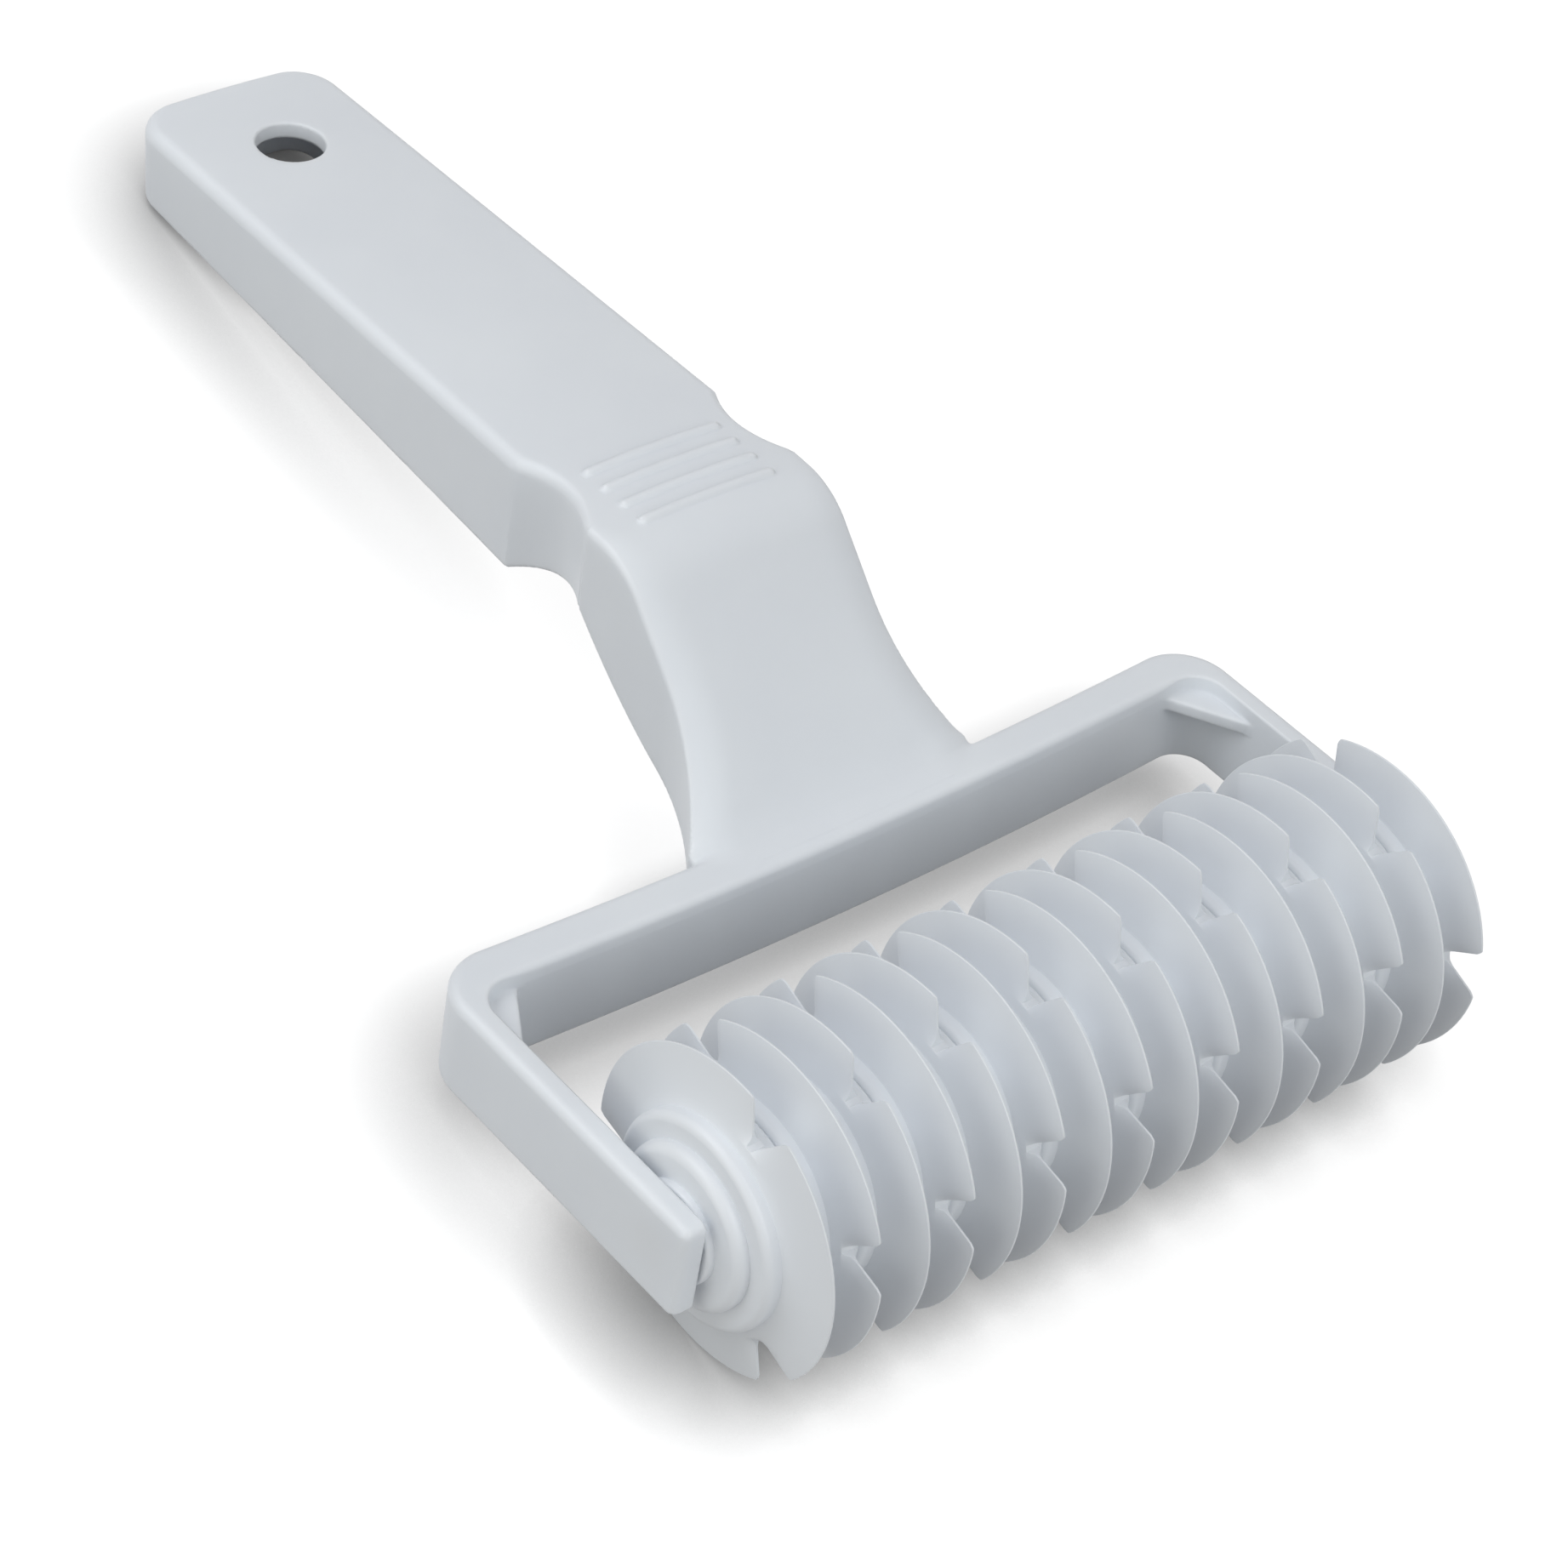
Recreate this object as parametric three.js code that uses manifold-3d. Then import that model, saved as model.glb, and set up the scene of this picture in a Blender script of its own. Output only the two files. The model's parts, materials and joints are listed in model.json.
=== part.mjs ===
// Lattice roller cutter: a one-piece moulded handle frame that carries a roller of notched discs.
//
// Sizes are millimetres. Every piece is drawn in the tool's own frame: X along the roller, Y from
// the roller toward the handle, Z square to the yoke, with the origin on the roller's axis. The
// finished tool is then pitched forward until it stands on its roller and the tail of its handle,
// and moved so that the origin lies on the table under the middle of the tool.

import * as THREE from 'three';
import { mergeVertices } from 'three/addons/utils/BufferGeometryUtils.js';
import Module from 'manifold-3d';

// Clearances
const SEAT_GAP = 0.3;
const RUNNING_GAP = 0.3;
const KEY_GAP = 0.35;

// Cutter discs
const DISC_COUNT = 16;
const DISC_PITCH = 7.07;
const DISC_RADIUS = 21;
const RIM_THICKNESS = 0.5;
const BLADE_MID_THICKNESS = 1.2;
const BLADE_ROOT_THICKNESS = 3.9;
const BLADE_FLARE = 2.2;
const DRUM_RADIUS = 13.7;
const DRUM_EDGE = 0.75;
const NOTCH_COUNT = 3;
const NOTCH_ANGLE = 18.1;
const NOTCH_FLOOR_GAP = 1.4;
const NOTCH_PHASE = 105.4;

// How far each disc has settled within the play of its key, as a share of that play
const DISC_SETTLE = [0.1, 0.1, 0.2, 0.2, -0.2, -0.2, -0.2, -0.3, 0, -0.1, -0.2, 0.1, 0, -0.2, 0.4, 0.7];

// Axle and end collars
const AXLE_ACROSS_FLATS = 7;
const JOURNAL_RADIUS = 2.6;
const SOCKET_FLOOR = 1.2;
const COLLAR_RADIUS = 10.6;
const COLLAR_LENGTH = 1.6;
const COLLAR_EDGE = 0.7;
const COLLAR_BOSS_RADIUS = 6.5;
const COLLAR_BOSS_LENGTH = 1;

// Yoke: two arms and a slightly bowed bar
const ARM_THICKNESS = 3.2;
const ARM_REACH = 5.8;
const YOKE_TOP = 6.7;
const YOKE_BOTTOM = -6.9;
const BAR_REAR = 44.2;
const BAR_THICKNESS = 6.2;
const BAR_BOW = 1.6;
const CORNER_RADIUS = 7.6;
const INNER_CORNER_RADIUS = 4.2;
const YOKE_EDGE = 0.9;
const GUSSET_ALONG_BAR = 6.3;
const GUSSET_ALONG_ARM = 10;
const GUSSET_THICKNESS = 2;
const GUSSET_DROP = 2.2;

// Neck: a ramp from the bar up to the handle, with scalloped sides and grip ribs at its top
const RAMP_ANGLE = 43.5;
const FOOT_RADIUS = 11.2;
const FOOT_SINK = 0.3;
const BEND_RADIUS = 12;
const NECK_HALF_WIDTH = 16.9;
const FOOT_HALF_WIDTH = 22.8;
const FLARE_LENGTH = 15;
const NECK_FLAT = 3.3;
const NECK_DEPTH = 13.1;
const FOOT_DEPTH = 5.5;
const FOOT_EDGE = 5;
const BELLY_ALONG = 0.51;
const BELLY_RISE = 0.21;
const SCALLOP_LENGTH = 15.2;
const SCALLOP_DEPTH = 2.5;
const RIB_COUNT = 4;
const RIB_PITCH = 3.72;
const RIB_LENGTH = 21.8;
const RIB_RADIUS = 0.75;
const RIB_HEIGHT = 0.55;

// Handle: a shell, open underneath, with a hole to hang it by
const HANDLE_LENGTH = 89.9;
const HANDLE_TOP_AT_NECK = 32.5;
const HANDLE_TOP_AT_TAIL = 31.75;
const HANDLE_DEPTH_AT_NECK = 16.9;
const HANDLE_DEPTH_AT_TAIL = 11.6;
const HANDLE_HALF_WIDTH_AT_NECK = 16.7;
const HANDLE_HALF_WIDTH_AT_TAIL = 15.4;
const TAIL_CORNER_RADIUS = 6.2;
const SHELL_EDGE = 1.5;
const SIDE_DRAFT = 1;
const WALL = 2.2;
const HOLE_DIAMETER = 10;
const HOLE_FROM_TAIL = 16.8;

// Finish
const PLASTIC_COLOUR = 0xdfe4ea;
const PLASTIC_ROUGHNESS = 0.45;

// Facets
const DISC_FACETS = 27;
const COLLAR_FACETS = 24;
const BORE_FACETS = 24;
const HOLE_FACETS = 24;
const RIB_FACETS = 8;
const ARC_STEPS = 6;
const EDGE_STEPS = 3;
const SMALL_EDGE_STEPS = 2;
const LEAST_STATION_STEP = 0.3;
const LEAST_EDGE = 0.2;
const MOST_EDGE_SHARE = 0.45;
const OVERCUT = 5;

// Places that follow from the sizes above
const stackHalf = (DISC_COUNT * DISC_PITCH) / 2;
const collarInner = stackHalf + SEAT_GAP / 2;
const collarOuter = collarInner + COLLAR_LENGTH + COLLAR_BOSS_LENGTH;
const armInner = collarOuter + RUNNING_GAP;
const armOuter = armInner + ARM_THICKNESS;
const socketDepth = ARM_THICKNESS - SOCKET_FLOOR;
const yokeEdge = Math.min(YOKE_EDGE, MOST_EDGE_SHARE * Math.min(ARM_THICKNESS, BAR_THICKNESS));
const barFront = BAR_REAR - BAR_THICKNESS;
const ramp = THREE.MathUtils.degToRad(RAMP_ANGLE);
const footStart = barFront - BAR_BOW + yokeEdge;
const rampFoot = footStart + FOOT_RADIUS * Math.tan(ramp / 2);
const rampHead = rampFoot + (HANDLE_TOP_AT_NECK - YOKE_TOP + FOOT_SINK) / Math.tan(ramp);
const shoulder = rampHead + BEND_RADIUS * Math.tan(ramp / 2) + NECK_FLAT;
const waist = shoulder + SCALLOP_LENGTH;
const tail = waist + HANDLE_LENGTH;

const wasm = await Module();
wasm.setup();

// Solids: a closed geometry becomes a solid for joins and cuts, and comes back as a geometry.

function solidOf(geometry) {
  const bare = new THREE.BufferGeometry();
  bare.setAttribute('position', geometry.getAttribute('position'));
  bare.setIndex(geometry.getIndex());
  const welded = mergeVertices(bare);
  const corners = welded.getIndex().array;
  const triangles = [];
  for (let i = 0; i < corners.length; i += 3) {
    const [a, b, c] = corners.slice(i, i + 3);
    if (a !== b && b !== c && c !== a) {
      triangles.push(a, b, c);
    }
  }
  const mesh = new wasm.Mesh({
    numProp: 3,
    vertProperties: new Float32Array(welded.getAttribute('position').array),
    triVerts: new Uint32Array(triangles),
  });
  return new wasm.Manifold(mesh);
}

function geometryOf(solid) {
  const mesh = solid.getMesh();
  const geometry = new THREE.BufferGeometry();
  geometry.setAttribute('position', new THREE.BufferAttribute(mesh.vertProperties, 3));
  geometry.setIndex(new THREE.BufferAttribute(mesh.triVerts, 1));
  geometry.computeVertexNormals();
  return geometry;
}

// Forms that several pieces share

function turnedAlongX(profile, facets) {
  const points = profile.map(([radius, along]) => new THREE.Vector2(radius, along));
  return new THREE.LatheGeometry(points, facets).rotateZ(-Math.PI / 2);
}

function rodAlongX(radius, length, facets) {
  return new THREE.CylinderGeometry(radius, radius, length, facets).rotateZ(-Math.PI / 2);
}

function hexagonAlongX(acrossFlats, length) {
  return rodAlongX(acrossFlats / Math.sqrt(3), length, 6);
}

function roundedCorner(radius, along, edge, inward) {
  const points = [];
  for (let k = 0; k <= SMALL_EDGE_STEPS; k += 1) {
    const turn = (k / SMALL_EDGE_STEPS) * (Math.PI / 2);
    points.push([radius - edge * (1 - Math.cos(turn)), along - inward * edge * (1 - Math.sin(turn))]);
  }
  return points;
}

// Joins rings of points that follow each other along +Y, and closes both ends.
function loft(rings) {
  const count = rings[0].length;
  const last = (rings.length - 1) * count;
  const faces = [];
  for (let start = 0; start < last; start += count) {
    for (let i = 0; i < count; i += 1) {
      const near = start + i;
      const next = start + ((i + 1) % count);
      faces.push(near, next + count, next, near, near + count, next + count);
    }
  }
  for (let i = 1; i < count - 1; i += 1) {
    faces.push(0, i, i + 1, last, last + i + 1, last + i);
  }
  const geometry = new THREE.BufferGeometry();
  geometry.setAttribute('position', new THREE.Float32BufferAttribute(rings.flat(2), 3));
  geometry.setIndex(faces);
  return geometry;
}

// Roller

function discGeometry() {
  const drumHalf = (DISC_PITCH - SEAT_GAP) / 2;
  const rootHalf = BLADE_ROOT_THICKNESS / 2;
  const edge = Math.min(DRUM_EDGE, (drumHalf - rootHalf) / 2);
  const half = [
    [DISC_RADIUS, RIM_THICKNESS / 2],
    [DRUM_RADIUS + BLADE_FLARE, BLADE_MID_THICKNESS / 2],
    [DRUM_RADIUS, rootHalf],
    [DRUM_RADIUS, drumHalf - edge],
    [DRUM_RADIUS - edge, drumHalf],
    [0, drumHalf],
  ];
  const mirrored = half.map(([radius, along]) => [radius, -along]).reverse();
  let disc = solidOf(turnedAlongX([...mirrored, ...half], DISC_FACETS));

  disc = disc.subtract(solidOf(hexagonAlongX(AXLE_ACROSS_FLATS + 2 * KEY_GAP, DISC_PITCH + OVERCUT)));
  for (let k = 0; k < NOTCH_COUNT; k += 1) {
    const notch = notchGeometry().rotateX((k * 2 * Math.PI) / NOTCH_COUNT);
    disc = disc.subtract(solidOf(notch));
  }
  return geometryOf(disc);
}

// A wedge from just above the drum to past the rim, centred on +Y.
function notchGeometry() {
  const halfAngle = THREE.MathUtils.degToRad(NOTCH_ANGLE / 2);
  const apex = new THREE.Vector2(DRUM_RADIUS + NOTCH_FLOOR_GAP, 0);
  const rim = new THREE.Vector2(Math.cos(halfAngle), Math.sin(halfAngle)).multiplyScalar(DISC_RADIUS);
  const flank = rim.clone().sub(apex);
  const past = rim.clone().add(flank.setLength(OVERCUT));
  const outline = new THREE.Shape([apex, past, new THREE.Vector2(past.x, -past.y)]);
  const wedge = new THREE.ExtrudeGeometry(outline, { depth: DISC_PITCH, bevelEnabled: false });
  wedge.translate(0, 0, -DISC_PITCH / 2);
  const acrossDisc = new THREE.Matrix4().makeBasis(
    new THREE.Vector3(0, 1, 0),
    new THREE.Vector3(0, 0, 1),
    new THREE.Vector3(1, 0, 0),
  );
  return wedge.applyMatrix4(acrossDisc);
}

// The angle that a disc can turn on the hexagonal axle before its bore meets the axle's corners.
function keyPlay() {
  const boreFlat = AXLE_ACROSS_FLATS / 2 + KEY_GAP;
  const axleCorner = AXLE_ACROSS_FLATS / Math.sqrt(3);
  return Math.PI / 6 - Math.acos(Math.min(1, boreFlat / axleCorner));
}

function collarGeometry() {
  const bossEnd = COLLAR_LENGTH + COLLAR_BOSS_LENGTH;
  const edge = Math.min(COLLAR_EDGE, MOST_EDGE_SHARE * COLLAR_LENGTH, COLLAR_BOSS_LENGTH);
  const profile = [
    [0, 0],
    ...roundedCorner(COLLAR_RADIUS, 0, edge, -1).reverse(),
    ...roundedCorner(COLLAR_RADIUS, COLLAR_LENGTH, edge, 1),
    [COLLAR_BOSS_RADIUS, COLLAR_LENGTH],
    ...roundedCorner(COLLAR_BOSS_RADIUS, bossEnd, edge, 1),
    [0, bossEnd],
  ];
  const collar = solidOf(turnedAlongX(profile, COLLAR_FACETS));
  const bore = solidOf(hexagonAlongX(AXLE_ACROSS_FLATS + 2 * KEY_GAP, 2 * bossEnd + OVERCUT));
  return geometryOf(collar.subtract(bore));
}

function axleGeometry() {
  const hexagon = solidOf(hexagonAlongX(AXLE_ACROSS_FLATS, 2 * collarOuter));
  const journalEnd = armInner + socketDepth - RUNNING_GAP;
  const journals = solidOf(rodAlongX(JOURNAL_RADIUS, 2 * journalEnd, BORE_FACETS));
  return geometryOf(hexagon.add(journals));
}

// Handle frame

// The line of the top skin as (y, z), from the bar to the tail, sunk by an inset square to the skin.
function topLine(inset) {
  const footY = rampFoot + (inset * (1 - Math.cos(ramp))) / Math.sin(ramp);
  const footZ = YOKE_TOP - FOOT_SINK - inset;
  const headZ = HANDLE_TOP_AT_NECK - inset;
  const headY = footY + (headZ - footZ) / Math.tan(ramp);
  const footRadius = FOOT_RADIUS + inset;
  const bendRadius = BEND_RADIUS - inset;
  const footReach = footRadius * Math.tan(ramp / 2);
  const bendReach = bendRadius * Math.tan(ramp / 2);
  const line = new THREE.Path();
  line.moveTo(footY - footReach, footZ);
  line.absarc(footY - footReach, footZ + footRadius, footRadius, -Math.PI / 2, ramp - Math.PI / 2);
  line.absarc(headY + bendReach, headZ - bendRadius, bendRadius, Math.PI / 2 + ramp, Math.PI / 2, true);
  line.lineTo(tail, HANDLE_TOP_AT_TAIL - inset);
  return line;
}

// The lower edge of the side walls as (y, z), from the bar to the tail.
function bottomLine() {
  const footZ = YOKE_TOP - FOOT_DEPTH;
  const shoulderZ = HANDLE_TOP_AT_NECK - NECK_DEPTH;
  const waistZ = HANDLE_TOP_AT_NECK - HANDLE_DEPTH_AT_NECK;
  const belly = new THREE.Vector2(
    THREE.MathUtils.lerp(BAR_REAR, shoulder, BELLY_ALONG),
    THREE.MathUtils.lerp(footZ, shoulderZ, BELLY_RISE),
  );
  const line = new THREE.Path();
  line.moveTo(barFront - BAR_BOW, footZ);
  line.lineTo(BAR_REAR, footZ);
  line.quadraticCurveTo(belly.x, belly.y, shoulder, shoulderZ);
  line.quadraticCurveTo((shoulder + waist) / 2, shoulderZ, waist, waistZ);
  line.lineTo(tail, HANDLE_TOP_AT_TAIL - HANDLE_DEPTH_AT_TAIL);
  return line;
}

// The right side seen from above as (y, half width), from the bar to the tail, moved in by an inset.
function sideLine(inset) {
  const neck = NECK_HALF_WIDTH - inset;
  const end = tail - inset;
  const waistWidth = HANDLE_HALF_WIDTH_AT_NECK - inset;
  const endWidth = HANDLE_HALF_WIDTH_AT_TAIL - inset;
  const corner = Math.max(LEAST_EDGE, TAIL_CORNER_RADIUS - inset);
  const line = new THREE.Path();
  line.moveTo(barFront - BAR_BOW, FOOT_HALF_WIDTH - inset);
  line.lineTo(BAR_REAR, FOOT_HALF_WIDTH - inset);
  line.quadraticCurveTo(BAR_REAR + FLARE_LENGTH / 2, neck, BAR_REAR + FLARE_LENGTH, neck);
  line.lineTo(shoulder, neck);
  line.quadraticCurveTo((shoulder + waist) / 2, neck - 2 * SCALLOP_DEPTH, waist, waistWidth);
  line.absarc(end - corner, endWidth - corner, corner, Math.PI / 2, 0, true);
  return line;
}

// Reads a line as a function of y.
function heightOn(line) {
  const points = line.getPoints(ARC_STEPS);
  return (y) => {
    const next = points.findIndex((point, i) => i > 0 && point.x >= y);
    const to = next < 0 ? points.length - 1 : next;
    const { x: y0, y: z0 } = points[to - 1];
    const { x: y1, y: z1 } = points[to];
    return THREE.MathUtils.mapLinear(y, y0, y1, z0, z1);
  };
}

// The places along y where any of the lines turns, between two ends.
function stationsOn(lines, from, to) {
  const places = lines.flatMap((line) => line.getPoints(ARC_STEPS).map((point) => point.x));
  const inside = places.filter((y) => y > from && y < to - LEAST_STATION_STEP).sort((a, b) => a - b);
  const stations = [from];
  for (const y of inside) {
    if (y - stations.at(-1) > LEAST_STATION_STEP) {
      stations.push(y);
    }
  }
  return [...stations, to];
}

// One section across the handle at y, counted from the lower left edge over the top.
function section(y, halfWidth, top, bottom, edge, steps) {
  const right = [[halfWidth - SIDE_DRAFT, y, bottom]];
  for (let k = 0; k <= steps; k += 1) {
    const turn = (k / steps) * (Math.PI / 2);
    right.push([halfWidth - edge * (1 - Math.cos(turn)), y, top - edge * (1 - Math.sin(turn))]);
  }
  const left = right.map(([x, , z]) => [-x, y, z]).reverse();
  return [...right, ...left];
}

// The radius of the upper edges at y, which grows down the ramp as far as the section's height allows.
function edgeAt(y, height) {
  const wanted = THREE.MathUtils.mapLinear(y, shoulder, BAR_REAR, SHELL_EDGE, FOOT_EDGE);
  return Math.min(THREE.MathUtils.clamp(wanted, SHELL_EDGE, FOOT_EDGE), MOST_EDGE_SHARE * height);
}

// How far the top drops at y to round the tail's upper edge.
function tailDrop(y) {
  const past = Math.max(0, y - (tail - SHELL_EDGE));
  return SHELL_EDGE - Math.sqrt(SHELL_EDGE ** 2 - past ** 2);
}

function shellOutside() {
  const lines = [topLine(0), bottomLine(), sideLine(0)];
  const [topAt, bottomAt, halfWidthAt] = lines.map(heightOn);
  const rings = stationsOn(lines, footStart, tail).map((y) => {
    const top = topAt(y) - tailDrop(y);
    const bottom = bottomAt(y);
    return section(y, halfWidthAt(y), top, bottom, edgeAt(y, top - bottom), EDGE_STEPS);
  });
  return solidOf(loft(rings));
}

function shellInside() {
  const lines = [topLine(WALL), bottomLine(), sideLine(WALL)];
  const [topAt, bottomAt, halfWidthAt] = lines.map(heightOn);
  const edge = Math.max(LEAST_EDGE, SHELL_EDGE - WALL);
  const rings = stationsOn(lines, BAR_REAR + edge, tail - WALL).map((y) =>
    section(y, halfWidthAt(y), topAt(y), bottomAt(y) - OVERCUT, edge, 1));
  return solidOf(loft(rings));
}

function yokeOutline() {
  const outerTurn = BAR_REAR - CORNER_RADIUS;
  const outerSide = armOuter - CORNER_RADIUS;
  const innerTurn = barFront - INNER_CORNER_RADIUS;
  const innerSide = armInner - INNER_CORNER_RADIUS;
  const outline = new THREE.Shape();
  outline.moveTo(armOuter, -ARM_REACH);
  outline.lineTo(armOuter, outerTurn);
  outline.absarc(outerSide, outerTurn, CORNER_RADIUS, 0, Math.PI / 2);
  outline.quadraticCurveTo(0, BAR_REAR - 2 * BAR_BOW, -outerSide, BAR_REAR);
  outline.absarc(-outerSide, outerTurn, CORNER_RADIUS, Math.PI / 2, Math.PI);
  outline.lineTo(-armOuter, -ARM_REACH);
  outline.lineTo(-armInner, -ARM_REACH);
  outline.absarc(-innerSide, innerTurn, INNER_CORNER_RADIUS, Math.PI, Math.PI / 2, true);
  outline.quadraticCurveTo(0, barFront - 2 * BAR_BOW, innerSide, barFront);
  outline.absarc(innerSide, innerTurn, INNER_CORNER_RADIUS, Math.PI / 2, 0, true);
  outline.lineTo(armInner, -ARM_REACH);
  return outline;
}

function yoke() {
  const band = new THREE.ExtrudeGeometry(yokeOutline(), {
    depth: YOKE_TOP - YOKE_BOTTOM - 2 * yokeEdge,
    curveSegments: ARC_STEPS,
    bevelThickness: yokeEdge,
    bevelSize: yokeEdge,
    bevelOffset: -yokeEdge,
    bevelSegments: SMALL_EDGE_STEPS,
  });
  return solidOf(band.translate(0, 0, YOKE_BOTTOM + yokeEdge));
}

// A small plate across one inner corner of the yoke, let into the arm and the bar.
function gusset(side) {
  const into = ARM_THICKNESS / 2;
  const outline = new THREE.Shape([
    new THREE.Vector2(side * (armInner + into), barFront + into),
    new THREE.Vector2(side * (armInner - GUSSET_ALONG_BAR), barFront + into),
    new THREE.Vector2(side * (armInner - GUSSET_ALONG_BAR), barFront - BAR_BOW / 2),
    new THREE.Vector2(side * armInner, barFront - GUSSET_ALONG_ARM),
    new THREE.Vector2(side * (armInner + into), barFront - GUSSET_ALONG_ARM),
  ]);
  const plate = new THREE.ExtrudeGeometry(outline, { depth: GUSSET_THICKNESS, bevelEnabled: false });
  return solidOf(plate.translate(0, 0, YOKE_TOP - GUSSET_DROP - GUSSET_THICKNESS));
}

function gripRib(y) {
  const top = heightOn(topLine(0))(y);
  const straight = RIB_LENGTH - 2 * RIB_RADIUS;
  const rib = new THREE.CapsuleGeometry(RIB_RADIUS, straight, SMALL_EDGE_STEPS, RIB_FACETS);
  return solidOf(rib.rotateZ(Math.PI / 2).translate(0, y, top + RIB_HEIGHT - RIB_RADIUS));
}

function hangHole() {
  const radius = HOLE_DIAMETER / 2;
  const hole = new THREE.CylinderGeometry(radius, radius, WALL + 2 * OVERCUT, HOLE_FACETS);
  hole.rotateX(Math.PI / 2);
  return solidOf(hole.translate(0, tail - HOLE_FROM_TAIL, HANDLE_TOP_AT_TAIL - WALL / 2));
}

function socket(side) {
  const depth = socketDepth + RUNNING_GAP;
  const bore = rodAlongX(JOURNAL_RADIUS + RUNNING_GAP, depth, BORE_FACETS);
  return solidOf(bore.translate(side * (armInner + socketDepth - depth / 2), 0, 0));
}

function handleFrameGeometry() {
  let frame = shellOutside().subtract(shellInside()).add(yoke());
  for (let k = 0; k < RIB_COUNT; k += 1) {
    frame = frame.add(gripRib(shoulder - NECK_FLAT + k * RIB_PITCH));
  }
  for (const side of [-1, 1]) {
    frame = frame.add(gusset(side)).subtract(socket(side));
  }
  return geometryOf(frame.subtract(hangHole()));
}

// Assembly

function piece(name, geometry) {
  const material = new THREE.MeshStandardMaterial({
    color: PLASTIC_COLOUR,
    roughness: PLASTIC_ROUGHNESS,
    metalness: 0,
  });
  const mesh = new THREE.Mesh(geometry, material);
  mesh.name = name;
  return mesh;
}

function roller() {
  const group = new THREE.Group();
  group.rotation.x = THREE.MathUtils.degToRad(NOTCH_PHASE);
  group.add(piece('axle', axleGeometry()));

  const disc = discGeometry();
  const flatTurn = Math.PI / 3;
  for (let i = 0; i < DISC_COUNT; i += 1) {
    const cutter = piece(`cutter_disc_${String(i + 1).padStart(2, '0')}`, disc);
    cutter.position.x = (i + 0.5) * DISC_PITCH - stackHalf;
    cutter.rotation.x = (i % 2) * flatTurn + DISC_SETTLE[i % DISC_SETTLE.length] * keyPlay();
    group.add(cutter);
  }

  const right = piece('end_collar_right', collarGeometry());
  right.position.x = collarInner;
  const left = piece('end_collar_left', collarGeometry());
  left.position.x = -collarInner;
  left.rotation.y = Math.PI;
  group.add(right, left);
  return group;
}

// The pitch at which the roller and the lower edge of the tail touch one table.
function restPitch() {
  const tailBottom = HANDLE_TOP_AT_TAIL - HANDLE_DEPTH_AT_TAIL;
  return Math.atan2(tailBottom, tail) + Math.asin(DISC_RADIUS / Math.hypot(tail, tailBottom));
}

const tool = new THREE.Group();
tool.add(piece('handle_frame', handleFrameGeometry()), roller());
tool.rotation.x = -restPitch();

const cutterOnTable = new THREE.Group();
cutterOnTable.add(tool);
const box = new THREE.Box3().setFromObject(cutterOnTable, true);
tool.position.y -= (box.min.y + box.max.y) / 2;
tool.position.z -= box.min.z;

export default cutterOnTable;
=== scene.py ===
# Lattice roller cutter: the moulded looks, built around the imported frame.
#
# Sizes are millimetres in the tool's own frame, as the construction has them: X along the roller,
# Y from the roller toward the handle, Z square to the yoke, with the origin on the roller's axis.
# Angles are degrees. placed() turns such points into metres in the shared frame.

import json
import math

import bpy
import numpy as np
from mathutils import Matrix, Vector


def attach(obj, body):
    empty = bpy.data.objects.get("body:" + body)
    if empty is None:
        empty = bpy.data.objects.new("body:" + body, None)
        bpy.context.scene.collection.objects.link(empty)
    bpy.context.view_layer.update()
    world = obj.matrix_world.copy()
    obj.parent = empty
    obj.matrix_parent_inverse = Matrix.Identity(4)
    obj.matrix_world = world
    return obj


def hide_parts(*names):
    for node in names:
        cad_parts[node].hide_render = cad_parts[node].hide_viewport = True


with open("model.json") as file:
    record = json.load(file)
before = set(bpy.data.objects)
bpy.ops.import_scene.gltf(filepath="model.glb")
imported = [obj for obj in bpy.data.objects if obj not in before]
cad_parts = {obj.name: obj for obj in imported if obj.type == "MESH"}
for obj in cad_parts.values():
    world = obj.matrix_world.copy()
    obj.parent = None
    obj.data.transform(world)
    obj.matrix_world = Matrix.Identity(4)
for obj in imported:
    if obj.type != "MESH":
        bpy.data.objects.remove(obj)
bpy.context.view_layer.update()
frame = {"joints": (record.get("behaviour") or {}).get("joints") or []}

# Gaps between neighbours in the stack: in the construction, and as a seam that shows
SEAT_GAP = 0.3
SEAM_GAP = 0.04

# Cutter discs
DISC_COUNT = 16
DISC_PITCH = 7.07
DISC_RADIUS = 21
DRUM_RADIUS = 13.7
DRUM_EDGE = 1.1
RIM_THICKNESS = 0.26
BLADE_TAPER = 1.74
BLADE_ROOT_FLARE = 0.9
BLADE_ROOT_CURVE = 4
BLADE_EDGE = 0.1
NOTCH_COUNT = 3
NOTCH_ANGLE = 18.1
NOTCH_FLOOR_GAP = 1.4
NOTCH_FLOOR_WIDTH = 0.8
NOTCH_FLOOR_RISE = 0.02
NOTCH_WALL_BEVEL = 1.8
NOTCH_WALL_FLARE = 1.4
NOTCH_CORNER = 0.7
NOTCH_PHASE = 105.4

# How far each disc has settled on the axle, as a share of the play of its key
DISC_SETTLE = [0.1, 0.1, 0.2, 0.2, -0.2, -0.2, -0.2, -0.3, 0, -0.1, -0.2, 0.1, 0, -0.2, 0.4, 0.7]

# Axle and end collars
AXLE_ACROSS_FLATS = 7
KEY_GAP = 0.35
JOURNAL_RADIUS = 2.6
JOURNAL_CHAMFER = 0.3
RUNNING_GAP = 0.3
SOCKET_FLOOR = 1.2
COLLAR_RADIUS = 10.6
COLLAR_LENGTH = 1.6
COLLAR_EDGE = 1.3
COLLAR_BOSS_RADIUS = 6.5
COLLAR_BOSS_LENGTH = 1

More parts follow.
